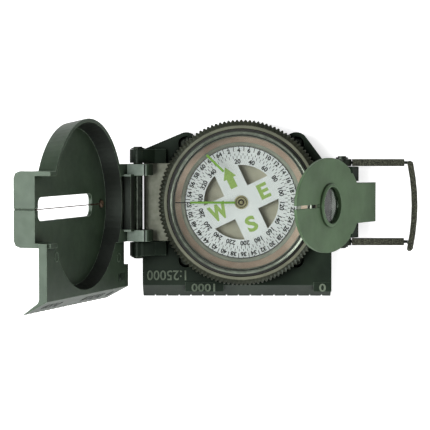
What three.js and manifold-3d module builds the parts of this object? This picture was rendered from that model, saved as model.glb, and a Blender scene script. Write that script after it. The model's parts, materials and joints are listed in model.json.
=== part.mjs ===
// A folding sighting compass: a cast base with a floating card under a turning bezel, a hinged cover with
// a sighting wire, a folding magnifier bracket and a wire thumb loop that latches the closed cover.
// +Z is up. The origin is on the card's axis, in the plane of the underside. +X runs from the cover's hinge
// to the thumb loop, and the straightedge is on the -Y side.
//
// The straightedge is a map scale, and the real size is estimated from it: its notches are taken to be
// 100 m apart at 1:25 000, which is 4 mm. The compass is drawn in units in which they are SCALE.pitch
// apart, about 1.2 units to a millimetre, and the finished group is brought to millimetres at the end.
import * as THREE from "three";
import { mergeVertices } from "three/addons/utils/BufferGeometryUtils.js";
import Module from "manifold-3d";

const wasm = await Module();
wasm.setup();

// ---- Driving dimensions ----
const DEG = Math.PI / 180;
const NOTCH_STEP_MM = 4;
const PLATE = {
  left: -39.7,
  right: 36.4,
  foldY: -33.5,
  tipY: -38.5,
  top: 8.5,
  tipZ: 0.6,
  hingeEdgeX: -39.2,
};
const SCALE = { pitch: 4.83, notchWidth: 0.8, notchDepth: 0.8, coverWidth: 2.6, coverDepth: 0.9 };
const EAR = { x: 22.2, y: 23.4, radius: 4.7, wellRadius: 3.1, wellFloor: 6.4 };
const BORE = { radius: 28.2, floor: 2.4, eyeRadius: 24, coverRadius: 26.4, coverDepth: 1.3 };
const COLLAR = { outer: 30.5, top: 13.6 };
const HINGE = {
  x: -41.3,
  z: 13,
  pinRadius: 1.85,
  knuckleRadius: 3.3,
  knuckleInner: 15.9,
  knuckleOuter: 21.3,
};
const BOSS = { left: 33.7, right: 47.2, top: 11.8, outerY: 14.2, slotY: 8.5, slotLeft: 36.2 };
const PIVOT = { x: 40.5, z: 8.5, radius: 1.5 };
const BEZEL = {
  clicks: 120,
  outer: 33.2,
  valley: 32.6,
  inner: 30.9,
  bottom: 9.2,
  notch: 0.4,
  land: 15.5,
  seat: 15,
};
const RETAINER = { foot: 29.4, outer: 29.1, inner: 27.6, lip: 26.4, top: 17.2 };
const CRYSTAL = { radius: 27.9, low: 13.2, high: 14.05 };
const CARD = { radius: 22.6, z: 9.8, thickness: 0.4, turn: 25.3, armHalf: 5.1, windowRadius: 15 };
const COVER = {
  openAngle: 109.5,
  centre: 41.3,
  outer: 31.8,
  inner: 30,
  rimOuter: 33.4,
  rimInner: 32,
  rim: 3,
  floor: 9.3,
  skin: 1.5,
  endX: 76.2,
  tabTop: 17.8,
  tabHalf: 14,
  notchHalf: 12.3,
  flangeLow: 4,
  flangeHigh: 7.2,
  flangeTip: 13.8,
  flangeEdge: 0.4,
  flangeEnd: 77.4,
  armInner: 10.9,
  armOuter: 15.4,
  back: -1.7,
};
const WINDOW = { from: 24.6, to: 73.4, half: 4.4, corner: 2.6, screwAt: 16, wireFrom: 17.9, wireTo: 74.4 };
const BRACKET = {
  openAngle: 60,
  height: 9.6,
  skin: 1.2,
  at: 31.2,
  halfLength: 26.8,
  halfWidth: 18.3,
  foot: 10,
  footHalf: 7.9,
};
const LENS = { at: 30.5, collar: 8.3, bore: 7.1, proud: 1.2, slotHalf: 0.65 };
const LOOP = {
  reach: 26.3,
  rise: 9,
  wire: 0.6,
  hubRadius: 3.8,
  hubY: 15.9,
  hubHalf: 1.4,
  barHalf: 18,
  barRadius: 1.2,
  barShift: -1.2,
  bow: 2,
};
const GAP = 0.3;

// ---- Materials ----
const paint = (color, roughness = 0.45, metalness = 0.2) =>
  new THREE.MeshStandardMaterial({ color, roughness, metalness });
const MATERIAL = {
  darkGreen: paint(0x2b352d),
  oliveGreen: paint(0x4c5a49),
  sageGreen: paint(0x66755f, 0.5),
  olive: paint(0x55543f, 0.5),
  copper: paint(0xb58a78, 0.35, 0.8),
  silver: paint(0x9aa09a, 0.25, 0.9),
  brass: paint(0x9a7f45, 0.3, 0.9),
  steel: paint(0x74787a, 0.3, 0.9),
  blackSteel: paint(0x1d1f1c, 0.4, 0.7),
  rubber: paint(0x2c2d26, 0.85, 0),
  card: paint(0xd6d6da, 0.8, 0),
  bowl: paint(0xb2ab9b, 0.7, 0),
  glow: paint(0x8fc552, 0.6, 0),
  black: paint(0x151515, 0.7, 0),
  glass: paint(0xeef2ee, 0.05, 0),
};
MATERIAL.glass.transparent = true;
MATERIAL.glass.opacity = 0.3;

// ---- Solids ----
const compass = new THREE.Group();

// A closed three.js geometry as a manifold-3d solid, turned outwards if its profile ran the other way.
function solidOf(geometry) {
  const bare = geometry.clone();
  bare.deleteAttribute("normal");
  bare.deleteAttribute("uv");
  const merged = mergeVertices(bare, 1e-4);
  const triVerts = new Uint32Array(merged.index.array);
  const make = () =>
    new wasm.Manifold(
      new wasm.Mesh({ numProp: 3, vertProperties: merged.attributes.position.array, triVerts }),
    );
  const made = make();
  if (made.volume() >= 0) return made;
  for (let i = 0; i < triVerts.length; i += 3) {
    [triVerts[i + 1], triVerts[i + 2]] = [triVerts[i + 2], triVerts[i + 1]];
  }
  return make();
}

function geometryOf(solid) {
  const { vertProperties, triVerts } = solid.getMesh();
  const geometry = new THREE.BufferGeometry();
  geometry.setAttribute("position", new THREE.BufferAttribute(new Float32Array(vertProperties), 3));
  geometry.setIndex(new THREE.BufferAttribute(new Uint32Array(triVerts), 1));
  geometry.computeVertexNormals();
  return geometry;
}

const join = (first, ...rest) => rest.reduce((whole, part) => whole.add(part), first);
const cut = (first, ...rest) => rest.reduce((whole, part) => whole.subtract(part), first);

function add(name, solid, material, parent = compass) {
  const mesh = new THREE.Mesh(geometryOf(solid), material);
  mesh.name = name;
  parent.add(mesh);
  return mesh;
}

function box(x0, x1, y0, y1, z0, z1) {
  const geometry = new THREE.BoxGeometry(x1 - x0, y1 - y0, z1 - z0);
  return solidOf(geometry.translate((x0 + x1) / 2, (y0 + y1) / 2, (z0 + z1) / 2));
}

// A shape drawn in plan, from height z0 to z1.
function plan(shape, z0, z1, curveSegments = 12) {
  const geometry = new THREE.ExtrudeGeometry(shape, { depth: z1 - z0, bevelEnabled: false, curveSegments });
  return solidOf(geometry.translate(0, 0, z0));
}

// A shape drawn in the XZ plane, from y0 to y1.
function side(shape, y0, y1, curveSegments = 10) {
  const geometry = new THREE.ExtrudeGeometry(shape, { depth: y1 - y0, bevelEnabled: false, curveSegments });
  return solidOf(geometry.rotateX(Math.PI / 2).translate(0, y1, 0));
}

// A shape drawn in the YZ plane, from x0 to x1.
function section(shape, x0, x1) {
  const geometry = new THREE.ExtrudeGeometry(shape, { depth: x1 - x0, bevelEnabled: false });
  return solidOf(geometry.rotateX(Math.PI / 2).rotateZ(Math.PI / 2).translate(x0, 0, 0));
}

const outline = (points) => new THREE.Shape(points.map(([x, y]) => new THREE.Vector2(x, y)));

// A profile of [radius, z] points turned about the Z axis.
function turned(profile, segments = 64) {
  const points = profile.map(([r, z]) => new THREE.Vector2(r, z));
  return solidOf(new THREE.LatheGeometry(points, segments).rotateX(Math.PI / 2));
}

const disc = (radius, z0, z1, segments = 48) =>
  turned([[0, z0], [radius, z0], [radius, z1], [0, z1]], segments);

const tube = (inner, outer, z0, z1, segments = 64) =>
  turned([[inner, z0], [outer, z0], [outer, z1], [inner, z1], [inner, z0]], segments);

// A round bar along Y at x, z.
function barY(x, z, radius, y0, y1, segments = 24) {
  const geometry = new THREE.CylinderGeometry(radius, radius, y1 - y0, segments);
  return solidOf(geometry.translate(x, (y0 + y1) / 2, z));
}

// A round bar between two points.
function rod(from, to, radius, segments = 8) {
  const a = new THREE.Vector3(...from);
  const b = new THREE.Vector3(...to);
  const geometry = new THREE.CylinderGeometry(radius, radius, a.distanceTo(b), segments);
  const turn = new THREE.Quaternion().setFromUnitVectors(
    new THREE.Vector3(0, 1, 0),
    b.clone().sub(a).normalize(),
  );
  const middle = a.add(b).multiplyScalar(0.5);
  return solidOf(geometry.applyQuaternion(turn).translate(middle.x, middle.y, middle.z));
}

const ball = (x, y, z, radius) =>
  solidOf(new THREE.SphereGeometry(radius, 8, 6).rotateX(Math.PI / 2).translate(x, y, z));

// A low round-headed screw on the Z axis, its head resting at z.
function panScrew(headRadius, headHeight, shankRadius, shankLength, z) {
  const profile = [
    [0, z - shankLength],
    [shankRadius, z - shankLength],
    [shankRadius, z],
    [headRadius, z],
    [headRadius, z + headHeight * 0.55],
    [headRadius * 0.72, z + headHeight],
    [0, z + headHeight],
  ];
  const slotHalf = headRadius * 0.16;
  return cut(
    turned(profile, 24),
    box(-headRadius, headRadius, -slotHalf, slotHalf, z + headHeight * 0.55, z + headHeight + 1),
  );
}

// ---- Base ----
function basePlanOutline() {
  return outline([
    [PLATE.left, PLATE.foldY],
    [PLATE.right, PLATE.foldY],
    [PLATE.right, BOSS.outerY],
    [33, 16.8],
    [EAR.x + 4, EAR.y + 2.5],
    [EAR.x, EAR.y + EAR.radius],
    [17, 26.4],
    [-17, 26.4],
    [-EAR.x - 1.7, EAR.y + 4.3],
    [PLATE.hingeEdgeX, HINGE.knuckleOuter],
    [PLATE.hingeEdgeX, -HINGE.knuckleOuter],
    [PLATE.left, -HINGE.knuckleOuter],
  ]);
}

function hingeLug(y0, y1) {
  const web = outline([
    [HINGE.x - 2.9, HINGE.z - 1.6],
    [PLATE.hingeEdgeX + 0.2, 4],
    [-30.2, 4],
    [-30.2, PLATE.top + 2],
    [-34.6, PLATE.top + 2.6],
    [HINGE.x + 2.4, HINGE.z + 2.2],
  ]);
  return join(side(web, y0, y1), barY(HINGE.x, HINGE.z, HINGE.knuckleRadius, y0, y1, 32));
}

// A V cut across a tip edge at x, from z0 to z1.
function edgeNotch(x, width, depth, z0, z1) {
  const shape = outline([
    [x - width / 2, PLATE.tipY - 0.2],
    [x + width / 2, PLATE.tipY - 0.2],
    [x, PLATE.tipY + depth],
  ]);
  return plan(shape, z0, z1);
}

function straightedge() {
  const bevel = outline([
    [PLATE.foldY + 0.5, 0],
    [PLATE.foldY + 0.5, PLATE.top],
    [PLATE.foldY, PLATE.top],
    [PLATE.tipY, PLATE.tipZ],
    [PLATE.tipY, 0],
  ]);
  const padY = PLATE.foldY + 1.2;
  let edge = join(
    section(bevel, PLATE.left, PLATE.right),
    box(-22.5, -7.1, PLATE.foldY - 2.6, padY, 3, PLATE.top + 0.2),
    box(29.2, PLATE.right, PLATE.foldY - 2.6, padY, 3, PLATE.top + 0.2),
  );
  for (let x = PLATE.left + SCALE.pitch; x < PLATE.right - 1; x += SCALE.pitch) {
    edge = cut(edge, edgeNotch(x, SCALE.notchWidth, SCALE.notchDepth, -1, PLATE.top));
  }
  return edge;
}

// The shelf between the hinge lugs falls away towards the cover's pin.
function hingeRamp() {
  const wedge = outline([
    [-30, PLATE.top + 1],
    [-30, PLATE.top],
    [PLATE.hingeEdgeX - 1, PLATE.top - 2],
    [PLATE.hingeEdgeX - 1, PLATE.top + 1],
  ]);
  return side(wedge, -HINGE.knuckleInner, HINGE.knuckleInner);
}

// Room for the ends of the cover's two arms to swing past the edge of the base.
function armSlot(sign) {
  const y0 = sign > 0 ? COVER.armInner - GAP : -HINGE.knuckleInner;
  const y1 = sign > 0 ? HINGE.knuckleInner : -COVER.armInner + GAP;
  return barY(HINGE.x, HINGE.z, 7.2, y0, y1, 32);
}

const DETENT = { angle: 201 * DEG, reach: 32, radius: 0.55, holeRadius: 0.75, holeFloor: 3.4, foot: 6.2 };
const detentAt = [DETENT.reach * Math.cos(DETENT.angle), DETENT.reach * Math.sin(DETENT.angle)];

function pivotBoss() {
  const block = outline([
    [BOSS.left, 0.8],
    [BOSS.right - 1.2, 0.8],
    [BOSS.right, 2.4],
    [BOSS.right, PIVOT.z],
    [BOSS.right - 2.6, BOSS.top],
    [BOSS.left, BOSS.top],
  ]);
  return side(block, -BOSS.outerY, BOSS.outerY);
}

function makeBase() {
  const ears = [[1, 1], [-1, 1], [-1, -1], [1, -1]].map(([sx, sy]) => [sx * EAR.x, sy * EAR.y, 0]);
  let body = join(plan(basePlanOutline(), 0, PLATE.top), disc(31.2, 0, PLATE.top, 72));
  body = join(body, straightedge());
  for (const ear of ears) body = join(body, disc(EAR.radius, 0, PLATE.top, 32).translate(ear));
  body = cut(body, hingeRamp());
  body = join(
    body,
    hingeLug(HINGE.knuckleInner, HINGE.knuckleOuter),
    hingeLug(-HINGE.knuckleOuter, -HINGE.knuckleInner),
    pivotBoss(),
    disc(COLLAR.outer, PLATE.top - 1, COLLAR.top, 72),
  );
  const hubRelief = barY(PIVOT.x, PIVOT.z, LOOP.hubRadius + 0.35, -17.8, -BOSS.outerY, 24);
  body = cut(
    body,
    disc(BORE.radius, BORE.floor, 30, 72),
    disc(BORE.eyeRadius, -1, 5, 56),
    disc(BORE.coverRadius, -1, BORE.coverDepth, 56),
    box(BOSS.slotLeft, 60, -BOSS.slotY, BOSS.slotY, -1, 30),
    armSlot(1),
    armSlot(-1),
    hubRelief,
    hubRelief.mirror([0, 1, 0]),
    barY(HINGE.x, HINGE.z, HINGE.pinRadius + 0.12, -30, 30),
    barY(PIVOT.x, PIVOT.z, PIVOT.radius + 0.1, -20, 20),
    disc(DETENT.holeRadius, DETENT.holeFloor, 20, 12).translate([...detentAt, 0]),
  );
  for (const ear of ears) {
    // The well opens upwards only, so that it doesn't break into the collar under the bezel.
    body = cut(body, disc(EAR.wellRadius, EAR.wellFloor, 9, 28).translate(ear));
    body = cut(body, disc(1.3, 1, 9, 12).translate(ear));
  }
  add("base_housing", body, MATERIAL.darkGreen);

  const names = ["ne", "nw", "sw", "se"];
  ears.forEach(([x, y], i) => {
    const screw = panScrew(2.6, 1.8, 1.1, 4.5, 0).rotate([0, 0, 35 + 50 * i]);
    add(`case_screw_${names[i]}`, screw.translate([x, y, EAR.wellFloor + 0.05]), MATERIAL.blackSteel);
  });

  add("bottom_cover", disc(BORE.coverRadius - 0.2, 0, BORE.coverDepth - 0.05, 56), MATERIAL.darkGreen);
}

// ---- Cover hinge pin, and the pin shared by the bracket and the loop ----
function makePins() {
  const end = HINGE.knuckleOuter + 0.1;
  const head = (radius, y0, y1) => barY(HINGE.x, HINGE.z, radius, y0, y1, 16);
  const rivetHead = join(head(2.7, end, end + 0.5), head(1.8, end + 0.45, end + 0.95));
  const pin = join(
    barY(HINGE.x, HINGE.z, HINGE.pinRadius, -end - 0.2, end + 0.2),
    rivetHead,
    rivetHead.mirror([0, 1, 0]),
  );
  add("cover_hinge_pin", pin, MATERIAL.blackSteel);

  const start = LOOP.hubY + LOOP.hubHalf + 0.1;
  add("pivot_pin", barY(PIVOT.x, PIVOT.z, PIVOT.radius, -start + 0.05, start - 0.05), MATERIAL.steel);
  const screwHead = join(
    barY(PIVOT.x, PIVOT.z, 2.5, start, start + 0.6, 24),
    barY(PIVOT.x, PIVOT.z, 1.7, start + 0.55, start + 1.1, 24),
  );
  add("pivot_screw_north", screwHead, MATERIAL.blackSteel);
  add("pivot_screw_south", screwHead.mirror([0, 1, 0]), MATERIAL.blackSteel);
}

// ---- Card chamber ----
function makeChamber() {
  const bowl = [
    [0, 2.5],
    [27.9, 2.5],
    [27.9, 10.8],
    [24.3, 10.8],
    [24.3, 7],
    [22.3, 5.9],
    [0, 5.9],
  ];
  add("chamber_bowl", turned(bowl, 56), MATERIAL.bowl);
  const liner = [
    [24.2, 10.85],
    [27.9, 10.85],
    [27.9, CRYSTAL.low - 0.05],
    [27.4, CRYSTAL.low - 0.05],
    [24.2, 11.2],
    [24.2, 10.85],
  ];
  add("chamber_ring", turned(liner, 56), MATERIAL.copper);
  add("chamber_crystal", disc(CRYSTAL.radius, CRYSTAL.low, CRYSTAL.high, 56), MATERIAL.glass);
  add("chamber_gasket", tube(28.3, 29.6, COLLAR.top + 0.05, COLLAR.top + 0.4, 48), MATERIAL.rubber);
  const inkLow = CRYSTAL.high + 0.02;
  add("fixed_index_glow", box(-20.4, -2.4, -0.45, 0.45, inkLow, inkLow + 0.1), MATERIAL.glow);
  add("fixed_index_line", box(-27.2, -20.5, -0.2, 0.2, inkLow, inkLow + 0.1), MATERIAL.black);
  const post = [[0, 5.95], [2.4, 5.95], [2.4, 6.6], [0.7, 7], [0.7, 9.2], [0.1, 10.1], [0, 10.1]];
  add("pivot_post", turned(post, 16), MATERIAL.steel);
}

// ---- Card, with its magnets and bearing ----
// A quarter sector between the arms of the cross.
function cardWindow(turn) {
  const half = CARD.armHalf;
  const from = Math.asin(half / CARD.windowRadius);
  const shape = new THREE.Shape();
  shape.moveTo(half, half);
  shape.lineTo(CARD.windowRadius * Math.cos(from), half);
  shape.absarc(0, 0, CARD.windowRadius, from, Math.PI / 2 - from, false);
  return plan(shape, 0, 30, 10).rotate([0, 0, turn]);
}

function makeCard() {
  const card = new THREE.Group();
  card.rotation.z = CARD.turn * DEG;
  compass.add(card);
  let face = tube(1.4, CARD.radius, CARD.z, CARD.z + CARD.thickness, 60);
  for (let quarter = 0; quarter < 4; quarter += 1) face = cut(face, cardWindow(90 * quarter));
  add("compass_card", face, MATERIAL.card, card);
  const top = CARD.z + CARD.thickness + 0.05;
  const hub = [
    [0, 11],
    [1.1, 10.8],
    [1.1, top],
    [2.7, top],
    [2.7, top + 0.5],
    [1.9, top + 1.1],
    [0, top + 1.4],
  ];
  add("card_hub", turned(hub, 20), MATERIAL.brass, card);
  const jewel = [[0.3, 10.3], [1, 10], [1, 10.7], [0.3, 10.7], [0.3, 10.3]];
  add("jewel_bearing", turned(jewel, 12), MATERIAL.copper, card);
  for (const [label, x] of [["east", 3.2], ["west", -3.2]]) {
    const bar = box(x - 0.9, x + 0.9, -14, 14, CARD.z - 1.25, CARD.z - 0.05);
    add(`magnet_bar_${label}`, bar, MATERIAL.steel, card);
  }
}

// ---- Turning bezel ----
// Its rim has one tooth, and its foot one notch, for each click of the turn.
function bezelRing() {
  const steps = BEZEL.clicks * 2;
  const profile = (peak) => {
    const rim = peak ? BEZEL.outer : BEZEL.valley;
    const foot = peak ? BEZEL.bottom : BEZEL.bottom + BEZEL.notch;
    return [
      [BEZEL.inner, foot],
      [rim, foot],
      [rim, BEZEL.land - 0.7],
      [BEZEL.valley - 0.3, BEZEL.land],
      [RETAINER.foot + 0.1, BEZEL.land],
      [RETAINER.foot + 0.1, BEZEL.seat - 0.8],
      [BEZEL.inner, BEZEL.seat - 0.8],
    ];
  };
  const count = profile(true).length;
  const positions = [];
  const index = [];
  for (let i = 0; i < steps; i += 1) {
    const angle = (i / steps) * 2 * Math.PI + DETENT.angle + Math.PI / BEZEL.clicks;
    for (const [r, z] of profile(i % 2 === 0)) {
      positions.push(r * Math.cos(angle), r * Math.sin(angle), z);
    }
    for (let k = 0; k < count; k += 1) {
      const a = i * count + k;
      const b = i * count + ((k + 1) % count);
      const c = ((i + 1) % steps) * count + k;
      const d = ((i + 1) % steps) * count + ((k + 1) % count);
      index.push(a, c, b, b, c, d);
    }
  }
  const geometry = new THREE.BufferGeometry();
  geometry.setAttribute("position", new THREE.Float32BufferAttribute(positions, 3));
  geometry.setIndex(index);
  return solidOf(geometry);
}

function makeBezel() {
  add("bezel_ring", bezelRing(), MATERIAL.olive);
  const low = BEZEL.seat + 0.05;
  const glassTop = 16.1;
  const crown = [
    [RETAINER.lip, BEZEL.seat - 0.5],
    [RETAINER.foot, BEZEL.seat - 0.5],
    [RETAINER.foot, BEZEL.seat],
    [RETAINER.outer, RETAINER.top - 0.5],
    [28.6, RETAINER.top],
    [28.1, RETAINER.top],
    [RETAINER.inner, RETAINER.top - 0.5],
    [RETAINER.inner, BEZEL.seat],
    [RETAINER.lip, BEZEL.seat],
    [RETAINER.lip, BEZEL.seat - 0.5],
  ];
  add("crystal_retainer", turned(crown, 60), MATERIAL.silver);
  add("bezel_crystal", disc(RETAINER.inner - 0.1, low, glassTop, 60), MATERIAL.glass);
  const line = box(-0.45, 0.45, 0, 9.5, glassTop + 0.02, glassTop + 0.12);
  add("bezel_index_glow", line.rotate([0, 0, 45.9]).translate([-7, 12.4, 0]), MATERIAL.glow);
}

// ---- Bezel click plunger ----
function makeDetent() {
  const [x, y] = detentAt;
  const tip = BEZEL.bottom + 0.15;
  const plunger = [
    [0, DETENT.foot],
    [DETENT.radius, DETENT.foot],
    [DETENT.radius, tip - 0.5],
    [0.3, tip - 0.12],
    [0, tip],
  ];
  add("detent_plunger", turned(plunger, 12).translate([x, y, 0]), MATERIAL.steel);
  const coils = 4;
  const turns = coils * 6;
  const low = DETENT.holeFloor + 0.2;
  const rise = DETENT.foot - 0.15 - low;
  const helix = new THREE.CatmullRomCurve3(
    Array.from({ length: turns + 1 }, (_, i) => {
      const angle = (i / 6) * 2 * Math.PI;
      const centreLine = 0.42;
      return new THREE.Vector3(
        x + centreLine * Math.cos(angle),
        y + centreLine * Math.sin(angle),
        low + (rise * i) / turns,
      );
    }),
  );
  const wire = new THREE.Shape().absarc(0, 0, 0.1, 0, 2 * Math.PI, false);
  const options = { steps: turns, extrudePath: helix, curveSegments: 3, bevelEnabled: false };
  add("detent_spring", solidOf(new THREE.ExtrudeGeometry(wire, options)), MATERIAL.steel);
}

// ---- Cover ----
// Drawn closed, from its hinge pin: x towards the thumb loop, z up.
function coverArm(y0, y1) {
  const top = COVER.floor + COVER.skin;
  const shape = new THREE.Shape();
  shape.moveTo(15, top);
  shape.lineTo(COVER.back, top);
  shape.lineTo(COVER.back - 0.2, 6.2);
  shape.lineTo(-4, 3);
  shape.lineTo(-4, -3.4);
  shape.absarc(-1.8, -3.4, 2.2, Math.PI, 1.5 * Math.PI, false);
  shape.absarc(1.8, -3.4, 2.2, 1.5 * Math.PI, 2 * Math.PI, false);
  shape.lineTo(4, COVER.rim);
  shape.lineTo(15, COVER.rim);
  return side(shape, y0, y1, 5);
}

function coverFlange() {
  const { flangeLow, flangeHigh, flangeTip, flangeEdge, flangeEnd } = COVER;
  const nearHinge = 0.8;
  const firstNotch = 5.2;
  const besideKnuckle = 5;
  const bevel = outline([
    [PLATE.foldY + 1, flangeLow],
    [PLATE.foldY + 1, flangeHigh],
    [PLATE.foldY - 0.4, flangeHigh + 0.4],
    [PLATE.tipY, flangeTip],
    [PLATE.tipY, flangeTip - flangeEdge],
    [PLATE.foldY, flangeLow],
  ]);
  let flange = join(
    box(besideKnuckle, flangeEnd, -26, -COVER.notchHalf, flangeLow, flangeHigh),
    box(nearHinge, flangeEnd, PLATE.foldY + 0.5, -24.7, flangeLow, flangeHigh),
    section(bevel, nearHinge, flangeEnd),
  );
  for (let x = firstNotch; x < flangeEnd - 1; x += SCALE.pitch) {
    flange = cut(flange, edgeNotch(x, SCALE.coverWidth, SCALE.coverDepth, 0, 30));
  }
  return flange;
}

function coverWindow() {
  const { from, to, half, corner } = WINDOW;
  const shape = new THREE.Shape();
  shape.moveTo(from + corner, -half);
  shape.lineTo(to - corner, -half);
  shape.absarc(to - corner, -half + corner, corner, -Math.PI / 2, 0, false);
  shape.absarc(to - corner, half - corner, corner, 0, Math.PI / 2, false);
  shape.absarc(from + corner, half - corner, corner, Math.PI / 2, Math.PI, false);
  shape.absarc(from + corner, -half + corner, corner, Math.PI, 1.5 * Math.PI, false);
  return plan(shape, 5, 20, 4);
}

function coverShell() {
  const { centre, outer, inner, rim, floor, skin, endX, tabTop, tabHalf, notchHalf } = COVER;
  const top = floor + skin;
  const tabCorner = 2.5;
  const tab = outline([
    [-tabHalf, floor],
    [tabHalf, floor],
    [tabHalf, tabTop - tabCorner],
    [tabHalf - 0.7, tabTop - 0.7],
    [tabHalf - tabCorner, tabTop],
    [-tabHalf + tabCorner, tabTop],
    [-tabHalf + 0.7, tabTop - 0.7],
    [-tabHalf, tabTop - tabCorner],
  ]);
  const cup = turned([[0, rim], [COVER.rimOuter, rim], [outer, top], [0, top]], 80);
  const mouth = COVER.rimInner;
  const hollow = turned([[0, -5], [mouth, -5], [mouth, rim], [inner, floor], [0, floor]], 80);
  // On the flange's side the rim stops level with the flange.
  const cupWithStep = cut(
    cup.translate([centre, 0, 0]),
    box(16, endX, -40, -COVER.notchHalf, 0, COVER.flangeLow),
    box(0, 17, -40, -COVER.armOuter, 0, COVER.flangeLow),
  );
  const shell = join(
    cupWithStep,
    coverFlange(),
    box(centre + 20, endX, -tabHalf, tabHalf, rim, top),
    coverArm(COVER.armInner, COVER.armOuter),
    coverArm(-COVER.armOuter, -COVER.armInner),
    box(COVER.back, 16, -COVER.armOuter, COVER.armOuter, floor, top),
    box(2.7, 7.4, -COVER.armInner - 0.5, COVER.armInner + 0.5, 0, top),
    section(tab, endX - skin, endX),
  );
  return cut(
    shell,
    hollow.translate([centre, 0, 0]),
    box(centre, endX + 5, -notchHalf, notchHalf, -10, floor),
    coverWindow(),
    box(WINDOW.screwAt, endX + 1, -0.35, 0.35, 5, floor + 0.4),
    box(endX - 0.5, endX + 1, -0.35, 0.35, floor, tabTop + 1),
    barY(0, 0, HINGE.pinRadius + 0.12, -30, 30),
    disc(0.9, 5, 20, 12).translate([WINDOW.screwAt, 0, 0]),
  );
}

function makeCover() {
  const cover = new THREE.Group();
  cover.position.set(HINGE.x, 0, HINGE.z);
  cover.rotation.y = -COVER.openAngle * DEG;
  compass.add(cover);
  add("cover_shell", coverShell(), MATERIAL.oliveGreen, cover);
  const wireZ = COVER.floor + 0.2;
  const wire = rod([WINDOW.wireFrom, 0, wireZ], [WINDOW.wireTo, 0, wireZ], 0.2, 10);
  add("sighting_wire", wire, MATERIAL.copper, cover);
  const screw = panScrew(1.6, 0.8, 0.75, 1.5, 0).rotate([180, 0, 25]);
  add("sighting_wire_screw", screw.translate([WINDOW.screwAt, 0, COVER.floor - 0.05]), MATERIAL.brass, cover);
}

// ---- Magnifier bracket ----
// Drawn folded flat over the bezel, from its pivot: the plate reaches towards -x.
function bracketPlate() {
  const { height, skin, at, halfLength, halfWidth, foot, footHalf } = BRACKET;
  const low = height - skin / 2;
  const high = height + skin / 2;
  const earShape = new THREE.Shape();
  earShape.moveTo(-4.6, high);
  earShape.lineTo(-2.7, 0.5);
  earShape.absarc(0, 0, 2.7, Math.PI, 2 * Math.PI, false);
  earShape.lineTo(4.5, low - 3);
  earShape.lineTo(foot - 1, low);
  earShape.lineTo(foot - 1, high);
  // The oval must stay inside the closed cover's cup, except where it passes through the notch.
  const oval = disc(1, low, high, 72).scale([halfLength, halfWidth, 1]).translate([-at, 0, 0]);
  const inCup = disc(COVER.inner + 0.5, 0, 20, 72).translate([-PIVOT.x, 0, 0]);
  const inNotch = box(-60, 0, -COVER.notchHalf + 0.35, COVER.notchHalf - 0.35, 0, 20);
  const plate = join(
    oval.intersect(join(inCup, inNotch)),
    box(-at, foot, -footHalf, footHalf, low, high),
    side(earShape, footHalf - skin, footHalf, 8),
    side(earShape, -footHalf, -footHalf + skin, 8),
  );
  return cut(
    plate,
    disc(LENS.collar - 0.6, low - 1, high + 1, 40).translate([-LENS.at, 0, 0]),
    box(-at - 40, -LENS.at - LENS.collar - 0.6, -LENS.slotHalf, LENS.slotHalf, low - 1, high + 1),
    barY(0, 0, PIVOT.radius + 0.12, -20, 20),
  );
}

function makeBracket() {
  const bracket = new THREE.Group();
  bracket.position.set(PIVOT.x, 0, PIVOT.z);
  bracket.rotation.y = BRACKET.openAngle * DEG;
  compass.add(bracket);
  add("magnifier_bracket", bracketPlate(), MATERIAL.sageGreen, bracket);
  const high = BRACKET.height + BRACKET.skin / 2;
  const low = BRACKET.height - BRACKET.skin / 2;
  const collar = [
    [LENS.bore, low],
    [LENS.collar - 0.7, low],
    [LENS.collar - 0.7, high + 0.05],
    [LENS.collar, high + 0.05],
    [LENS.collar, high + LENS.proud - 0.5],
    [LENS.collar - 0.5, high + LENS.proud],
    [LENS.bore, high + LENS.proud],
    [LENS.bore, low],
  ];
  add("lens_collar", turned(collar, 40).translate([-LENS.at, 0, 0]), MATERIAL.sageGreen, bracket);
  const edge = LENS.bore - 0.1;
  const middle = BRACKET.height + 0.3;
  const bulge = [
    [0, middle - 1],
    [4, middle - 0.7],
    [edge, middle - 0.2],
    [edge, middle + 0.2],
    [4, middle + 0.7],
    [0, middle + 1],
  ];
  add("magnifier_lens", turned(bulge, 32).translate([-LENS.at, 0, 0]), MATERIAL.glass, bracket);
}

// ---- Thumb loop ----
// A wire bent up at its end, with sleeves on its arms and on its bar. Drawn from its pivot, at rest.
// The bar and the wire in it bow outwards in the middle.
function bowed(geometry) {
  const position = geometry.attributes.position;
  for (let i = 0; i < position.count; i += 1) {
    const along = position.getY(i) / LOOP.barHalf;
    position.setX(i, position.getX(i) + LOOP.bow * (1 - along * along));
  }
  return solidOf(geometry.translate(LOOP.reach, LOOP.barShift, LOOP.rise));
}

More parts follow.
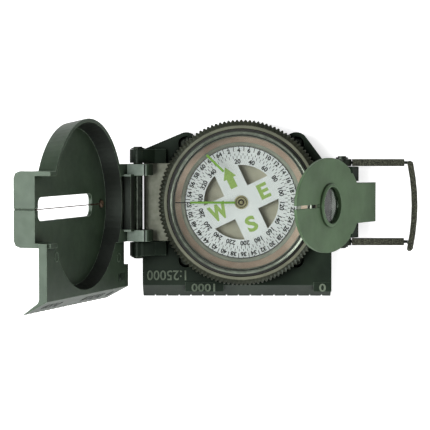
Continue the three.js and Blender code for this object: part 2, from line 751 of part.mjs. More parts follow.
function makeLoop() {
  const loop = new THREE.Group();
  loop.position.set(PIVOT.x, 0, PIVOT.z);
  compass.add(loop);
  const { reach, rise, wire, hubY, hubHalf, hubRadius, barHalf, barRadius } = LOOP;
  const riserX = reach + 0.3;
  // The bar sits a little towards the straightedge, so the two risers lean.
  const riser = (sign, radius) =>
    rod([riserX, sign * hubY, 0], [riserX, sign * (hubY + 0.4) + LOOP.barShift, rise], radius);
  const barWire = (radius) => bowed(new THREE.CylinderGeometry(radius, radius, 2 * (hubY + 0.6), 8, 6));
  const arm = join(
    barY(0, 0, hubRadius, hubY - hubHalf, hubY + hubHalf, 24),
    rod([1, hubY, 0], [riserX, hubY, 0], wire),
    ball(riserX, hubY, 0, wire),
  );
  const frame = cut(
    join(arm, arm.mirror([0, 1, 0]), riser(1, wire), riser(-1, wire), barWire(wire)),
    barY(0, 0, PIVOT.radius + 0.12, -20, 20),
  );
  add("thumb_loop_wire", frame, MATERIAL.blackSteel, loop);

  const clearance = wire + 0.1;
  const sleeve = cut(
    box(hubRadius + 0.3, reach - 1.4, hubY - hubHalf, hubY + hubHalf, -hubHalf, hubHalf),
    rod([1, hubY, 0], [reach + 2, hubY, 0], clearance),
  );
  add("arm_sleeve_north", sleeve, MATERIAL.rubber, loop);
  add("arm_sleeve_south", sleeve.mirror([0, 1, 0]), MATERIAL.rubber, loop);

  const bar = bowed(new THREE.CapsuleGeometry(barRadius, 2 * (barHalf - barRadius), 3, 14, 6));
  const bareBar = cut(bar, barWire(clearance), riser(1, clearance), riser(-1, clearance));
  add("bar_sleeve", bareBar, MATERIAL.rubber, loop);
}

makeBase();
makePins();
makeChamber();
makeCard();
makeBezel();
makeDetent();
makeCover();
makeBracket();
makeLoop();
compass.scale.setScalar(NOTCH_STEP_MM / SCALE.pitch);

export default compass;
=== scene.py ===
"""A folding sighting compass: materials, printed dial, embossing, fine bezel, floor, light and camera.

Lengths are written in the units of the drawing, in which the notches of the straightedge are 4.83 apart,
and UNIT turns them into metres. The origin is on the dial's axis in the plane of the underside, +X runs
towards the thumb loop, and -Y holds the straightedge.
"""
import json
import math

import bmesh
import bpy
from mathutils import Matrix, Vector


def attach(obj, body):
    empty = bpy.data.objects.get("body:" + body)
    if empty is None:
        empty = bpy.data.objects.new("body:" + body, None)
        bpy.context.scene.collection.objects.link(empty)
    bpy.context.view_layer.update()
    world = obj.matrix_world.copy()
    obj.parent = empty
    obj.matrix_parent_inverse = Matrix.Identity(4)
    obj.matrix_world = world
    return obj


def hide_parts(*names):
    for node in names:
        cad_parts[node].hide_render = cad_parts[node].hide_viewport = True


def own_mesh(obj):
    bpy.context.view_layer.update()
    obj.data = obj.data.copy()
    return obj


NOTCH_PITCH = 4.83
UNIT = 0.004 / NOTCH_PITCH
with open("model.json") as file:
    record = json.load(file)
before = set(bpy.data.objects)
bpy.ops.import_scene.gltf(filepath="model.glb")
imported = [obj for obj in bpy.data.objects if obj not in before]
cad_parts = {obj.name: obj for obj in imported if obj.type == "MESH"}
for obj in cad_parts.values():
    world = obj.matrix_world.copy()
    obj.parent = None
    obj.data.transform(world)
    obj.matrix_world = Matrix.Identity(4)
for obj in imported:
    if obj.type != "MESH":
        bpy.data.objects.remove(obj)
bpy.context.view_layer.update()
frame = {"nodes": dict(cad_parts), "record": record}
NODES = frame["nodes"]
JOINTS = {joint["name"]: joint for joint in frame["record"]["behaviour"]["joints"]}

COVER_OPEN = math.radians(-JOINTS["cover_hinge"]["range_deg"][0])
COVER_FRAME = Matrix.Translation(JOINTS["cover_hinge"]["pos_m"]) @ Matrix.Rotation(-COVER_OPEN, 4, "Y")
CARD_TURN = math.radians(25.3)
CARD_TOP = 10.2
SHARP_CORNER = math.radians(32)


# ---------------------------------------------------------------- materials
class Nodes:
    """A short way to build a material's node tree."""

    def __init__(self, name):
        self.material = bpy.data.materials.new(name)
        self.material.use_nodes = True
        self.tree = self.material.node_tree
        self.shader = self.tree.nodes["Principled BSDF"]
        self.output = self.tree.nodes["Material Output"]

    def add(self, kind, **settings):
        node = self.tree.nodes.new(kind)
        for key, value in settings.items():
            if hasattr(node, key):
                setattr(node, key, value)
            else:
                node.inputs[key.replace("_", " ")].default_value = value
        return node

    def link(self, source, target):
        self.tree.links.new(source, target)

    def set(self, **values):
        for key, value in values.items():
            self.shader.inputs[key.replace("_", " ")].default_value = value

    def noise(self, scale, detail=3.0, roughness=0.5):
        """Noise fixed to the object: scale is how many blobs fit in one drawing unit."""
        place = self.add("ShaderNodeTexCoord")
        node = self.add("ShaderNodeTexNoise", Scale=scale / UNIT, Detail=detail, Roughness=roughness)
        self.link(place.outputs["Object"], node.inputs["Vector"])
        return node.outputs["Fac"]

    def ramp(self, value, low, high, low_colour, high_colour):
        node = self.add("ShaderNodeValToRGB")
        node.color_ramp.elements[0].position = low
        node.color_ramp.elements[1].position = high
        node.color_ramp.elements[0].color = (*low_colour, 1)
        node.color_ramp.elements[1].color = (*high_colour, 1)
        self.link(value, node.inputs["Fac"])
        return node.outputs["Color"]

    def mix(self, factor, first, second):
        node = self.add("ShaderNodeMix", data_type="RGBA")
        for socket, value in ((node.inputs[0], factor), (node.inputs[6], first), (node.inputs[7], second)):
            if isinstance(value, tuple):
                socket.default_value = (*value, 1)
            elif isinstance(value, float):
                socket.default_value = value
            else:
                self.link(value, socket)
        return node.outputs[2]

    def edge_mask(self, radius):
        """1 on edges that a rounding of this radius would reach, 0 on flat faces."""
        rounded = self.add("ShaderNodeBevel", samples=6, Radius=radius)
        true = self.add("ShaderNodeNewGeometry")
        dot = self.add("ShaderNodeVectorMath", operation="DOT_PRODUCT")
        self.link(rounded.outputs["Normal"], dot.inputs[0])
        self.link(true.outputs["Normal"], dot.inputs[1])
        invert = self.add("ShaderNodeMapRange")
        invert.inputs["From Min"].default_value = 0.99
        invert.inputs["From Max"].default_value = 0.8
        self.link(dot.outputs["Value"], invert.inputs["Value"])
        return invert.outputs["Result"]

    def inside_box(self, low, high):
        """1 inside a box given by two corners, and inside its mirror image across y = 0, and 0 outside."""
        place = self.add("ShaderNodeTexCoord")
        fold = self.add("ShaderNodeVectorMath", operation="ABSOLUTE")
        folded = self.add("ShaderNodeSeparateXYZ")
        split = self.add("ShaderNodeSeparateXYZ")
        self.link(place.outputs["Object"], fold.inputs[0])
        self.link(fold.outputs["Vector"], folded.inputs[0])
        self.link(place.outputs["Object"], split.inputs[0])
        along = (split.outputs[0], folded.outputs[1], split.outputs[2])
        inside = None
        for axis in range(3):
            for operation, edge in (("GREATER_THAN", low[axis]), ("LESS_THAN", high[axis])):
                test = self.add("ShaderNodeMath", operation=operation)
                test.inputs[1].default_value = edge * UNIT
                self.link(along[axis], test.inputs[0])
                if inside is None:
                    inside = test.outputs[0]
                    continue
                both = self.add("ShaderNodeMath", operation="MULTIPLY")
                self.link(inside, both.inputs[0])
                self.link(test.outputs[0], both.inputs[1])
                inside = both.outputs[0]
        return inside

    def faces_centre(self, centre, reach, slack):
        """1 on surfaces that look at the centre from about this far away, 0 elsewhere."""
        place = self.add("ShaderNodeTexCoord")
        inwards = self.add("ShaderNodeVectorMath", operation="SUBTRACT")
        inwards.inputs[0].default_value = centre
        self.link(place.outputs["Object"], inwards.inputs[1])
        dot = self.add("ShaderNodeVectorMath", operation="DOT_PRODUCT")
        self.link(inwards.outputs["Vector"], dot.inputs[0])
        self.link(place.outputs["Normal"], dot.inputs[1])
        near = self.add("ShaderNodeMath", operation="COMPARE")
        near.inputs[1].default_value = reach * UNIT
        near.inputs[2].default_value = slack * UNIT
        self.link(dot.outputs["Value"], near.inputs[0])
        return near.outputs[0]

    def faces(self, direction):
        """1 on surfaces that face this way to within about 40 degrees, 0 elsewhere."""
        place = self.add("ShaderNodeTexCoord")
        dot = self.add("ShaderNodeVectorMath", operation="DOT_PRODUCT")
        dot.inputs[1].default_value = Vector(direction).normalized()
        self.link(place.outputs["Normal"], dot.inputs[0])
        near = self.add("ShaderNodeMath", operation="GREATER_THAN")
        near.inputs[1].default_value = 0.77
        self.link(dot.outputs["Value"], near.inputs[0])
        return near.outputs[0]

    def bump(self, height, distance, strength=1.0, rounding=None):
        node = self.add("ShaderNodeBump", Distance=distance, Strength=strength)
        self.link(height, node.inputs["Height"])
        if rounding:
            edge = self.add("ShaderNodeBevel", samples=6, Radius=rounding)
            self.link(edge.outputs["Normal"], node.inputs["Normal"])
        self.link(node.outputs["Normal"], self.shader.inputs["Normal"])


def rgb(red, green, blue):
    """A colour given as it looks on screen, 0 to 255, in the linear values that nodes use."""
    linear = []
    for channel in (red, green, blue):
        share = channel / 255
        linear.append(((share + 0.055) / 1.055) ** 2.4 if channel > 10 else share / 12.92)
    return tuple(linear)


def paint(
    name,
    dark,
    light,
    rubbed_and_lit_edge,
    roughness=0.42,
    grain=0.02,
    rounding=0.3,
    edge_rub_and_sheen=0.8,
    spec=0.35,
    patches=(),
    wall=None,
):
    """Stove enamel on a casting, with a mottle, a fine orange peel, a painted shade in its hollows, and
    edges in a tone that stands partly for rubbed paint and partly for painted light.

    Each patch is a box, a direction and two tones: in the box, faces that look that way take these tones,
    or all faces do where the direction is None; paler tones are a painted highlight and darker ones a
    painted shade.
    wall is a centre, a radius, a slack and two tones, a painted shade for the inside of a round wall.
    """
    m = Nodes(name)
    surface_tone = m.ramp(m.noise(0.09, 4), 0.35, 0.68, dark, light)
    # Hollows that the occlusion finds take a painted shade, a third of the dark tone, and lose part of their
    # shine with it.
    open_air = m.add("ShaderNodeAmbientOcclusion", samples=8, Distance=20 * UNIT)
    unshaded = m.add("ShaderNodeMapRange")
    unshaded.inputs["From Min"].default_value = 0.3
    unshaded.inputs["From Max"].default_value = 0.9
    m.link(open_air.outputs["AO"], unshaded.inputs["Value"])
    hollow_shade = tuple(0.3 * channel for channel in dark)
    surface_tone = m.mix(unshaded.outputs["Result"], hollow_shade, surface_tone)
    for low, high, direction, shade, tone in patches:
        covered = m.inside_box(low, high)
        if direction:
            both = m.add("ShaderNodeMath", operation="MULTIPLY")
            m.link(covered, both.inputs[0])
            m.link(m.faces(direction), both.inputs[1])
            covered = both.outputs[0]
        surface_tone = m.mix(covered, surface_tone, m.ramp(m.noise(0.5, 6), 0.3, 0.7, shade, tone))
    if wall:
        centre, reach, slack, shade, tone = wall
        tones = m.ramp(m.noise(0.3, 4), 0.3, 0.7, shade, tone)
        surface_tone = m.mix(m.faces_centre(centre, reach, slack), surface_tone, tones)
    # Edges take the edge tone, which stands partly for rubbed paint and partly for painted light along them.
    rub_and_sheen = m.add("ShaderNodeMath", operation="MULTIPLY")
    m.link(m.edge_mask(rounding * UNIT), rub_and_sheen.inputs[0])
    m.link(m.ramp(m.noise(0.7, 2), 0.3, 0.6, (0.35, 0.35, 0.35), (1, 1, 1)), rub_and_sheen.inputs[1])
    faded = m.add("ShaderNodeMath", operation="MULTIPLY")
    faded.inputs[1].default_value = edge_rub_and_sheen
    m.link(rub_and_sheen.outputs[0], faded.inputs[0])
    m.link(m.mix(faded.outputs[0], surface_tone, rubbed_and_lit_edge), m.shader.inputs["Base Color"])
    rough = m.add("ShaderNodeMapRange")
    rough.inputs["To Min"].default_value = roughness - 0.07
    rough.inputs["To Max"].default_value = roughness + 0.1
    m.link(m.noise(0.35, 3), rough.inputs["Value"])
    m.link(rough.outputs["Result"], m.shader.inputs["Roughness"])
    dull = m.add("ShaderNodeMath", operation="MULTIPLY")
    dull.inputs[1].default_value = spec
    m.link(unshaded.outputs["Result"], dull.inputs[0])
    m.link(dull.outputs[0], m.shader.inputs["Specular IOR Level"])
    m.set(Metallic=0.05, Specular_Tint=(0.84, 1.0, 0.86, 1.0))
    m.bump(m.noise(2.2, 3), grain * UNIT, 1.0, rounding * UNIT)
    return m.material


def metal(name, colour, tint, roughness=0.3, grain=0.01, rounding=0.15, metallic=0.9):
    """Bare or thinly filmed metal, with faint stains and machining haze."""
    m = Nodes(name)
    m.link(m.ramp(m.noise(0.5, 4), 0.3, 0.7, colour, tint), m.shader.inputs["Base Color"])
    m.set(Metallic=metallic, Roughness=roughness)
    m.bump(m.noise(3.0, 2), grain * UNIT, 1.0, rounding * UNIT)
    return m.material


def brushed(name, colour, tint, roughness=0.32):
    """Metal turned on a lathe: fine rings round the dial's axis."""
    m = Nodes(name)
    place = m.add("ShaderNodeTexCoord")
    wave = m.add("ShaderNodeTexWave", wave_type="RINGS", rings_direction="Z")
    wave.inputs["Scale"].default_value = 1.1 / UNIT
    wave.inputs["Distortion"].default_value = 0.6
    m.link(place.outputs["Object"], wave.inputs["Vector"])
    m.link(m.ramp(m.noise(0.16, 4), 0.3, 0.72, colour, tint), m.shader.inputs["Base Color"])
    m.set(Metallic=0.35, Roughness=roughness)
    m.bump(wave.outputs["Fac"], 0.004 * UNIT, 0.6)
    return m.material


def coating(name, dark, light):
    """A rough dipped coating on the loop: granular, dull, with pale rubbed grains."""
    m = Nodes(name)
    grains = m.noise(1.6, 5, 0.7)
    m.link(m.ramp(grains, 0.42, 0.66, dark, light), m.shader.inputs["Base Color"])
    m.set(Roughness=0.78, Specular_IOR_Level=0.3)
    m.bump(m.noise(1.9, 5, 0.7), 0.22 * UNIT, 1.0, 0.3 * UNIT)
    return m.material


def card_stock(name, pale, shade):
    """The printed card: satin off-white with a very faint mottle."""
    m = Nodes(name)
    m.link(m.ramp(m.noise(0.22, 4), 0.25, 0.75, shade, pale), m.shader.inputs["Base Color"])
    m.set(Roughness=0.55, Specular_IOR_Level=0.35)
    m.bump(m.noise(4.0, 2), 0.006 * UNIT)
    return m.material


def printed(name, colour, shade, roughness=0.6):
    """Ink or luminous paint, slightly uneven."""
    m = Nodes(name)
    uneven = m.ramp(m.noise(2.2, 3), 0.3, 0.7, shade, colour)
    m.link(uneven, m.shader.inputs["Base Color"])
    m.set(Roughness=roughness)
    return m.material


def clear(name, tint, mirror=0.05, haze=0.02):
    """A thin clear pane: see-through, with a soft reflection that grows at a low angle."""
    m = Nodes(name)
    m.tree.nodes.remove(m.shader)
    through = m.add("ShaderNodeBsdfTransparent")
    through.inputs["Color"].default_value = (*tint, 1)
    gloss = m.add("ShaderNodeBsdfGlossy", Roughness=haze)
    # The reflection grows with the fifth power of the grazing angle, alike on both faces of the pane. It
    # has half the strength of real glass, because two panes with two faces each would hide the dial.
    grazing = m.add("ShaderNodeLayerWeight", Blend=0.5)
    fresnel = m.add("ShaderNodeMath", operation="POWER")
    fresnel.inputs[1].default_value = 5.0
    m.link(grazing.outputs["Facing"], fresnel.inputs[0])
    smudge = m.ramp(m.noise(0.15, 3), 0.3, 0.7, (mirror,) * 3, (mirror * 2,) * 3)
    amount = m.add("ShaderNodeMath", operation="MULTIPLY_ADD", use_clamp=True)
    amount.inputs[1].default_value = 0.5
    m.link(fresnel.outputs[0], amount.inputs[0])
    m.link(smudge, amount.inputs[2])
    blend = m.add("ShaderNodeMixShader")
    m.link(amount.outputs[0], blend.inputs["Fac"])
    m.link(through.outputs[0], blend.inputs[1])
    m.link(gloss.outputs[0], blend.inputs[2])
    m.link(blend.outputs[0], m.output.inputs["Surface"])
    return m.material


def floor_material():
    """A pale paper sheet."""
    m = Nodes("floor_paper")
    pale = m.ramp(m.noise(0.01, 3), 0.3, 0.7, (0.7, 0.7, 0.7), (0.73, 0.73, 0.73))
    m.link(pale, m.shader.inputs["Base Color"])
    m.link(pale, m.shader.inputs["Emission Color"])
    # The sheet is lit through from below for the camera only, so that it doesn't light the compass.
    seen = m.add("ShaderNodeLightPath")
    lit = m.add("ShaderNodeMath", operation="MULTIPLY")
    lit.inputs[1].default_value = 0.9
    m.link(seen.outputs["Is Camera Ray"], lit.inputs[0])
    m.link(lit.outputs[0], m.shader.inputs["Emission Strength"])
    m.set(Roughness=0.9)
    return m.material


# The upper faces of the shelf and of the cover's arms are toned paler than their paint. They stand in for
# the shine of a wide light from the left, which the open cover keeps off them here. The foot of the rim
# between the arms and the inside of the cup are toned darker, for the deeper shade of such a light.
SHELF = ((-38.6, -1, 5.5), (-27, 15.6, 9), (-0.2, 0, 1), rgb(128, 131, 116), rgb(148, 151, 136))
ARMS = ((-50.6, 10.6, 8), (-36.3, 15.6, 22), (-0.2, 0, 1), rgb(128, 142, 131), rgb(148, 161, 150))
RIM_FOOT = ((-51, -1, 4), (-42.6, 10.4, 26), None, rgb(9, 11, 9), rgb(17, 19, 16))
CUP_CENTRE = COVER_FRAME @ (Vector((41.3, 0, 6)) * UNIT)
CUP_WALL = (CUP_CENTRE, 29.0, 3.5, rgb(12, 13, 11), rgb(20, 22, 19))

BASE_PAINT = paint(
    "base_paint", rgb(16, 24, 17), rgb(28, 38, 28), rgb(88, 104, 88), 0.36, spec=0.3, patches=[SHELF]
)
COVER_PAINT = paint(
    "cover_paint",
    rgb(26, 38, 25),
    rgb(40, 53, 38),
    rgb(140, 158, 138),
    spec=0.5,
    patches=[ARMS, RIM_FOOT],
    wall=CUP_WALL,
)
BRACKET_PAINT = paint(
    "bracket_paint", rgb(66, 86, 60), rgb(78, 101, 72), rgb(50, 66, 49), 0.5, edge_rub_and_sheen=0.6, spec=0.4
)
BEZEL_PAINT = paint(
    "bezel_paint", rgb(24, 25, 17), rgb(44, 45, 33), rgb(150, 148, 124), 0.4, rounding=0.12, edge_rub_and_sheen=0.9
)
RETAINER = metal("retainer_metal", rgb(104, 112, 100), rgb(140, 148, 134), 0.3, metallic=0.7)
COPPER = brushed("copper_ring", rgb(172, 146, 132), rgb(196, 174, 158), 0.45)
BRASS = metal("brass", rgb(158, 150, 108), rgb(196, 188, 148), 0.38, metallic=0.5)
STEEL = metal("steel", rgb(120, 124, 126), rgb(150, 152, 152), 0.3)
BLACK_STEEL = metal("black_steel", rgb(34, 38, 33), rgb(60, 66, 58), 0.34)
SLEEVE = coating("loop_coating", rgb(22, 24, 17), rgb(84, 86, 70))
CARD_FACE = card_stock("card_face", rgb(246, 246, 250), rgb(236, 237, 242))
BOWL = card_stock("bowl_floor", rgb(214, 208, 190), rgb(188, 182, 164))
FROSTED = card_stock("frosted_ring", rgb(160, 162, 150), rgb(132, 134, 124))
GLOW = printed("luminous_paint", rgb(112, 160, 50), rgb(92, 136, 38), 0.6)
CARD_GREEN = printed("luminous_print", rgb(168, 196, 106), rgb(150, 180, 92))
# Near-black, for the painted shade in the narrow gaps round the outer crystal.
RIM_SHADE = printed("painted_rim_shade", rgb(16, 17, 12), rgb(26, 27, 20), 0.55)
LAND = paint("bezel_land_paint", rgb(92, 93, 78), rgb(116, 116, 98), rgb(150, 148, 124), 0.36, spec=0.7)
INK = printed("ink", rgb(20, 20, 24), rgb(36, 36, 40))
FINE_INK = printed("fine_ink", rgb(40, 40, 46), rgb(62, 62, 68))
DARK_GROOVE = printed("dark_groove", rgb(44, 34, 22), rgb(60, 46, 30), 0.5)
SCREW_BRASS = metal("darkened_brass", rgb(44, 36, 28), rgb(92, 72, 52), 0.5, metallic=0.6)
WIRE = metal("sighting_wire", rgb(70, 48, 36), rgb(96, 68, 52), 0.45)
BASE_EDGE = paint("base_lettering_paint", rgb(80, 90, 76), rgb(108, 118, 102), rgb(130, 142, 124), 0.36)
COVER_MARK = paint("cover_lettering_paint", rgb(14, 22, 15), rgb(26, 36, 27), rgb(70, 84, 70), 0.4)
PANE = clear("pane", (0.97, 0.98, 0.97), 0.02)
LENS = clear("lens_glass", (0.34, 0.39, 0.34), 0.1, 0.16)

NODE_MATERIALS = {
    "base_housing": BASE_PAINT,
    "bottom_cover": BASE_PAINT,
    "cover_hinge_pin": BLACK_STEEL,
    "pivot_pin": STEEL,
    "pivot_screw_north": BLACK_STEEL,
    "pivot_screw_south": BLACK_STEEL,
    "chamber_bowl": BOWL,
    "chamber_ring": COPPER,
    "chamber_crystal": PANE,
    "chamber_gasket": SLEEVE,
    "fixed_index_glow": GLOW,
    "fixed_index_line": INK,
    "pivot_post": STEEL,
    "compass_card": CARD_FACE,
    "card_hub": BRASS,
    "jewel_bearing": COPPER,
    "magnet_bar_east": STEEL,
    "magnet_bar_west": STEEL,
    "bezel_ring": BEZEL_PAINT,
    "crystal_retainer": RETAINER,
    "bezel_crystal": PANE,
    "bezel_index_glow": GLOW,
    "detent_plunger": STEEL,
    "detent_spring": STEEL,
    "cover_shell": COVER_PAINT,
    "sighting_wire": WIRE,
    "sighting_wire_screw": SCREW_BRASS,
    "magnifier_bracket": BRACKET_PAINT,
    "lens_collar": BRACKET_PAINT,
    "magnifier_lens": LENS,
    "thumb_loop_wire": BLACK_STEEL,
    "arm_sleeve_north": SLEEVE,
    "arm_sleeve_south": SLEEVE,
    "bar_sleeve": SLEEVE,
}


def dress_nodes():
    """Gives every CAD node its material and shades its round faces smooth."""
    for name, obj in NODES.items():
        material = BLACK_STEEL if name.startswith("case_screw") else NODE_MATERIALS[name]
        obj.data.materials.clear()
        obj.data.materials.append(material)
        obj.data.polygons.foreach_set("use_smooth", [True] * len(obj.data.polygons))
        obj.data.set_sharp_from_angle(angle=SHARP_CORNER)


# ---------------------------------------------------------------- pieces
def piece(name, mesh, material, body):
    """A new piece of the object, riding on a body."""
    obj = bpy.data.objects.new(name, mesh)
    bpy.context.scene.collection.objects.link(obj)
    mesh.materials.clear()
    mesh.materials.append(material)
    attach(obj, body)
    return obj


def mesh_from(name, build):
    """A mesh made by a function that fills a bmesh."""
    bm = bmesh.new()
    build(bm)
    mesh = bpy.data.meshes.new(name)
    bm.to_mesh(mesh)
    bm.free()
    return mesh


def slab(bm, outline, low, high, place=Matrix.Identity(4)):
    """A flat closed shape given as [x, y] points, from height low to high."""
    bottom = [bm.verts.new(place @ Vector((x * UNIT, y * UNIT, low * UNIT))) for x, y in outline]
    top = [bm.verts.new(place @ Vector((x * UNIT, y * UNIT, high * UNIT))) for x, y in outline]
    bm.faces.new(top)
    bm.faces.new(list(reversed(bottom)))
    for i in range(len(outline)):
        j = (i + 1) % len(outline)
        bm.faces.new([bottom[i], bottom[j], top[j], top[i]])


def bar(bm, width, inner, outer, low, high, angle):
    """A thin radial bar: angle is clockwise from the card's north."""
    turn = Matrix.Rotation(-angle, 4, "Z")
    half = width / 2
    slab(bm, [(-half, inner), (half, inner), (half, outer), (-half, outer)], low, high, turn)


def add_text(bm, words, size, thickness, place, bold=0.0):
    """Adds lettering, centred on its place, as solid mesh."""
    curve = bpy.data.curves.new("lettering", "FONT")
    curve.body = words
    curve.size = size * UNIT
    curve.align_x = "CENTER"
    curve.align_y = "CENTER"
    curve.extrude = thickness * UNIT / 2
    curve.offset = bold * UNIT
    curve.resolution_u = 3
    holder = bpy.data.objects.new("lettering", curve)
    bpy.context.scene.collection.objects.link(holder)
    graph = bpy.context.evaluated_depsgraph_get()
    mesh = holder.evaluated_get(graph).to_mesh()
    mesh.transform(place)
    bm.from_mesh(mesh)
    holder.evaluated_get(graph).to_mesh_clear()
    bpy.data.objects.remove(holder)
    bpy.data.curves.remove(curve)


def turned(bm, profile, segments, wave=None):
    """Turns (radius, height) points about the dial's axis; wave(angle, k) adds to the radius of point k.

    A profile that starts and ends on the axis is closed there, and any other profile closes on itself.
    """
    on_axis = profile[0][0] == 0
    rim = profile[1:-1] if on_axis else profile
    rings = []
    for step in range(segments):
        angle = 2 * math.pi * step / segments
        ring = []
        for k, (radius, height) in enumerate(rim):
            reach = radius + (wave(angle, k) if wave else 0)
            point = Vector((reach * math.cos(angle), reach * math.sin(angle), height))
            ring.append(bm.verts.new(point * UNIT))
        rings.append(ring)
    last = len(rim) - 1 if on_axis else len(rim)
    for step in range(segments):
        here, there = rings[step], rings[(step + 1) % segments]
        for k in range(last):
            up = (k + 1) % len(rim)
            bm.faces.new([here[k], there[k], there[up], here[up]])
    if on_axis:
        for k, height in ((0, profile[0][1]), (-1, profile[-1][1])):
            middle = bm.verts.new(Vector((0, 0, height)) * UNIT)
            for step in range(segments):
                here, there = rings[step][k], rings[(step + 1) % segments][k]
                bm.faces.new([middle, there, here] if k == 0 else [middle, here, there])
    bmesh.ops.recalc_face_normals(bm, faces=bm.faces)


def lathe(name, profile, material, body, segments=96, wave=None):
    """A turned piece on the dial's axis, shaded smooth except at its corners."""
    mesh = mesh_from(name, lambda bm: turned(bm, profile, segments, wave))
    obj = piece(name, mesh, material, body)
    mesh.polygons.foreach_set("use_smooth", [True] * len(mesh.polygons))
    mesh.set_sharp_from_angle(angle=SHARP_CORNER)
    return obj


def facing(origin, up, normal, stretch=1.0):
    """Where lettering lies: its middle, which way its tops point and it faces, and how wide it is."""
    up = Vector(up).normalized()
    normal = Vector(normal).normalized()
    turn = Matrix((up.cross(normal) * stretch, up, normal)).transposed().to_4x4()
    return Matrix.Translation(Vector(origin) * UNIT) @ turn


# ---------------------------------------------------------------- bezel, hub and chamber
CLICKS = 120
TOOTH = 0.9


def click_spring():
    """The spring under the plunger shortens as the plunger is pressed; this copy of it rides on the base in
    place of the CAD node and keeps its rest length.
    """
    spring = NODES["detent_spring"]
    copy = piece("click_spring", spring.data.copy(), STEEL, "base")
    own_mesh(copy)
    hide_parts("detent_spring")


def bezel():
    """The click bezel: rounded teeth on the wall, fading out over the shoulder to a plain land."""
    teeth = [0, 0, 0.7, 1, 1, 1, 0.8, 0.4, 0, 0, 0, 0, 0]
    profile = [(30.9, 9.2), (31.9, 9.2), (32.2, 9.4), (32.3, 9.7), (32.3, 12), (32.3, 13.8), (32.2, 14.4)]
    profile += [(31.7, 14.9), (31.0, 15.2), (30.85, 15.5), (29.6, 15.5), (29.5, 14.2), (30.9, 14.2)]

    def wave(angle, k):
        crest = 0.5 + 0.5 * math.cos(CLICKS * angle)
        return TOOTH * teeth[k] * crest**0.7

    ring = lathe("fine_bezel", profile, BEZEL_PAINT, "bezel", CLICKS * 8, wave)
    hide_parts("bezel_ring")


def hub():
    """The card's cap: a brass foot and a raised ring round the bearing, with dark grooves between them."""
    low = CARD_TOP + 0.02
    foot = [(0, 0), (2.75, 0), (2.75, 0.3), (2.6, 0.45), (2.25, 0.45), (2.2, 0.2), (1.95, 0.2)]
    raised = [(1.9, 0.95), (1.75, 1.1), (1.35, 1.1), (1.25, 0.5), (0.7, 0.5)]
    crown = [(0.62, 0.95), (0.4, 1.1), (0, 1.15)]
    profile = [(radius, low + height) for radius, height in foot + raised + crown]
    cap = lathe("fine_card_hub", profile, BRASS, "card", 64)
    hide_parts("card_hub")
    for name, inner, outer, floor in (("hub_groove", 1.96, 2.19, 0.22), ("hub_recess", 0.71, 1.24, 0.52)):
        under, over = low + floor, low + floor + 0.03
        flat = [(inner, under), (outer, under), (outer, over), (inner, over)]
        lathe(name, flat, DARK_GROOVE, "card", 48)


def surround():
    """The pale frosted ring between the card and the copper ring."""
    profile = [(22.75, 9.2), (24.15, 9.2), (24.15, 10.5), (23.6, 10.35), (22.75, 10.05)]
    lathe("frosted_ring", profile, FROSTED, "base", 180)


def retainer():
    """The bright crown that holds the outer crystal and the groove round it, with painted shade: near-black
    rings laid in the groove and in the gap between the crown and the crystal.
    """
    profile = [(26.4, 14.5), (29.4, 14.5), (29.4, 15.05), (28.6, 15.1), (28.45, 16.6), (28.2, 17.05)]
    profile += [(27.9, 17.2), (27.5, 17.1), (27.2, 16.7), (27.15, 16.25), (27.6, 16.2), (27.6, 15.0)]
    profile.append((26.4, 15.0))
    crown = lathe("fine_retainer", profile, RETAINER, "bezel", 240)
    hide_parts("crystal_retainer")
    # Two near-black rings paint the shade in the gap by the crystal and on the floor of the groove.
    for name, inner, outer, low, high in (
        ("crystal_edge_shade", 26.75, 27.1, 16.12, 16.4),
        ("crown_groove_shade", 28.65, 29.4, 15.12, 15.25),
    ):
        flat = [(inner, low), (outer, low), (outer, high), (inner, high)]
        lathe(name, flat, RIM_SHADE, "bezel", 240)
    land = [(29.65, 15.51), (30.75, 15.51), (30.75, 15.55), (29.65, 15.55)]
    lathe("bezel_land", land, LAND, "bezel", 240)


# ---------------------------------------------------------------- lettering and mould marks
PLATE_TOP = 8.5
PAD_TOP = 8.7
FLANGE_FACE = 4.0
FOLD_Y = -33.5
TIP_Y = -38.5
TIP_LOW = 13.4


def lettering(name, items, material, body, frame_matrix=Matrix.Identity(4)):
    """Raised characters: each item is words, size, boldness and place."""

    def build(bm):
        for words, size, bold, place in items:
            add_text(bm, words, size, 0.3, frame_matrix @ place, bold)

    piece(name, mesh_from(name, build), material, body)


def base_lettering():
    """The ratio on the plate, and the scale's numbers on their two pads."""
    up, normal = (0, -1, 0), (0, 0, 1)
    items = [("1:25000", 5.6, 0.06, facing((-29.6, -29.3, PLATE_TOP), up, normal, 0.94))]
    items.append(("1000", 4.4, 0.08, facing((-14.8, -34.3, PAD_TOP), up, normal, 1.2)))
    items.append(("0", 4.4, 0.08, facing((32.8, -34.3, PAD_TOP), up, normal, 1.3)))
    lettering("base_numerals", items, BASE_EDGE, "base")


def cover_lettering():
    """The scale's markings on the sloping edge of the flange, and a small one near the hinge."""
    slope = Vector((0, TIP_Y - FOLD_Y, TIP_LOW - FLANGE_FACE))
    normal = Vector((0, -slope.z, slope.y))
    items = []
    for words, x, width in (("0", 8.4, 1.3), ("1:25000", 25, 1.15), ("1000", 62.4, 1.5)):
        place = (x, (FOLD_Y + TIP_Y) / 2, (FLANGE_FACE + TIP_LOW) / 2)
        items.append((words, 5.2, 0.12, facing(place, slope, normal, width)))
    flat = facing((7.2, -29.3, FLANGE_FACE), (0, -1, 0), (0, 0, -1), 0.72)
    items.append(("100M", 4.4, 0.03, flat))
    lettering("cover_numerals", items, COVER_MARK, "cover", COVER_FRAME)


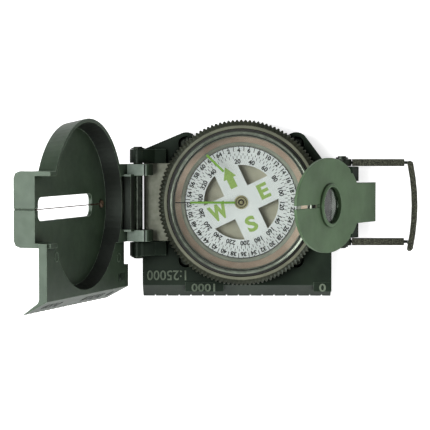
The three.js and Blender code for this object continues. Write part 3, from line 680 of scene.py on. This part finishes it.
def mould_marks():
    """Two low rings left on the flange by the mould's ejector pins."""
    profile = [(1.55, -0.02), (1.9, -0.02), (1.9, 0.14), (1.55, 0.14)]

    def build(bm):
        for x, y in ((69, -17.5), (10.5, -21.5)):
            ring = bmesh.new()
            turned(ring, profile, 32)
            place = facing((x, y, FLANGE_FACE), (0, 1, 0), (0, 0, -1))
            ring.transform(COVER_FRAME @ place)
            mesh = bpy.data.meshes.new("ring")
            ring.to_mesh(mesh)
            bm.from_mesh(mesh)
            ring.free()
            bpy.data.meshes.remove(mesh)

    piece("mould_marks", mesh_from("mould_marks", build), COVER_PAINT, "cover")


# ---------------------------------------------------------------- printed card
PRINT_LOW = CARD_TOP + 0.01
PRINT_HIGH = CARD_TOP + 0.04
MILS = 64
DEGREE_STEP = 5


def on_card(radius, angle, twist=0.0):
    """Where lettering sits on the card, its top outwards before the twist: angle is clockwise from north."""
    height = Matrix.Translation((0, 0, (PRINT_LOW + 0.015) * UNIT))
    out = Matrix.Rotation(-angle, 4, "Z") @ Matrix.Translation((0, radius * UNIT, 0))
    return height @ out @ Matrix.Rotation(twist, 4, "Z")


def card_print():
    """The card's two scales, their numbers, the letters and the north arrow."""
    turn = Matrix.Rotation(CARD_TURN, 4, "Z")

    def scales(bm):
        for step in range(MILS):
            angle = 2 * math.pi * step / MILS
            odd = step % 2 == 1
            bar(bm, 0.28, 20.5 if odd else 21.9, 22.5, PRINT_LOW, PRINT_HIGH, angle)
        for step in range(0, 360, DEGREE_STEP):
            bar(bm, 0.22, 17.55, 18.75, PRINT_LOW, PRINT_HIGH, math.radians(step))
            bar(bm, 0.22, 18.8, 19.7, PRINT_LOW, PRINT_HIGH, math.radians(step + 2.5))
        edge = [(22.3, PRINT_LOW), (22.55, PRINT_LOW), (22.55, PRINT_HIGH), (22.3, PRINT_HIGH)]
        turned(bm, edge, 180)
        bm.transform(turn)

    def numerals(bm):
        for mils in range(2, MILS + 1, 2):
            add_text(bm, str(mils), 2.35, 0.03, on_card(20.8, 2 * math.pi * mils / MILS), 0.1)
        for degrees in range(20, 360, 20):
            add_text(bm, str(degrees), 2.5, 0.03, on_card(16.35, math.radians(degrees)), 0.09)
        bm.transform(turn)

    def letters(bm):
        arrow = [(-1.45, 6.4), (1.45, 6.4), (1.45, 10.6), (2.75, 10.6), (0, 15.5), (-2.75, 10.6)]
        arrow.append((-1.45, 10.6))
        slab(bm, arrow, PRINT_LOW, PRINT_HIGH)
        quarters = (("E", 1, 1.1, 0.3), ("S", 2, 1.15, 0.3), ("W", 3, 0.76, 0.48))
        for letter, quarter, stretch, bold in quarters:
            angle = quarter * math.pi / 2
            squeeze = Matrix.Diagonal((stretch, 1, 1, 1))
            add_text(bm, letter, 8.3, 0.03, on_card(9.9, angle, angle) @ squeeze, bold)
        bm.transform(turn)

    piece("card_scales", mesh_from("card_scales", scales), FINE_INK, "card")
    piece("card_numerals", mesh_from("card_numerals", numerals), INK, "card")
    piece("card_letters", mesh_from("card_letters", letters), CARD_GREEN, "card")


def camera():
    """A long lens above the dial, looking down and a little towards the straightedge."""
    place = Vector((-5.0, 29.3, 756.7)) * UNIT
    aim = Vector((-10.6, -5.6, 0.0)) * UNIT
    forward = (aim - place).normalized()
    right = forward.cross(Vector((0, 1, 0))).normalized()
    up = right.cross(forward)
    turn = Matrix((right, up, -forward)).transposed().to_4x4()
    data = bpy.data.cameras.new("camera")
    data.sensor_width = 36
    data.lens = 155.8
    data.clip_start = 0.01
    obj = bpy.data.objects.new("camera", data)
    obj.matrix_world = Matrix.Translation(place) @ turn
    bpy.context.scene.collection.objects.link(obj)
    bpy.context.scene.camera = obj


def area_light(name, place, size, power):
    """A soft box aimed at the dial."""
    data = bpy.data.lights.new(name, "AREA")
    data.shape = "RECTANGLE"
    data.size, data.size_y = (edge * UNIT for edge in size)
    data.energy = power
    obj = bpy.data.objects.new(name, data)
    obj.location = Vector(place) * UNIT
    obj.rotation_euler = (-obj.location).to_track_quat("-Z", "Y").to_euler()
    bpy.context.scene.collection.objects.link(obj)


def studio():
    """The floor, four soft boxes and a dim white surround."""
    def sheet(bm):
        bmesh.ops.create_grid(bm, x_segments=1, y_segments=1, size=3.0)

    mesh = mesh_from("floor", sheet)
    mesh.materials.append(floor_material())
    floor = bpy.data.objects.new("floor", mesh)
    floor.location.z = -0.05 * UNIT
    bpy.context.scene.collection.objects.link(floor)
    area_light("key_light", (-460, 40, 560), (420, 620), 5.0)
    area_light("right_light", (620, -380, 330), (420, 420), 2.8)
    area_light("far_light", (120, 760, 380), (600, 360), 0.5)
    area_light("near_light", (-60, -700, 300), (500, 300), 0.8)
    world = bpy.data.worlds.new("studio")
    bpy.context.scene.world = world
    world.use_nodes = True
    world.node_tree.nodes["Background"].inputs["Color"].default_value = (1, 1, 1, 1)
    world.node_tree.nodes["Background"].inputs["Strength"].default_value = 0.22
    bpy.context.scene.view_settings.view_transform = "Standard"


dress_nodes()
click_spring()
bezel()
retainer()
hub()
surround()
card_print()
base_lettering()
cover_lettering()
mould_marks()
camera()
studio()
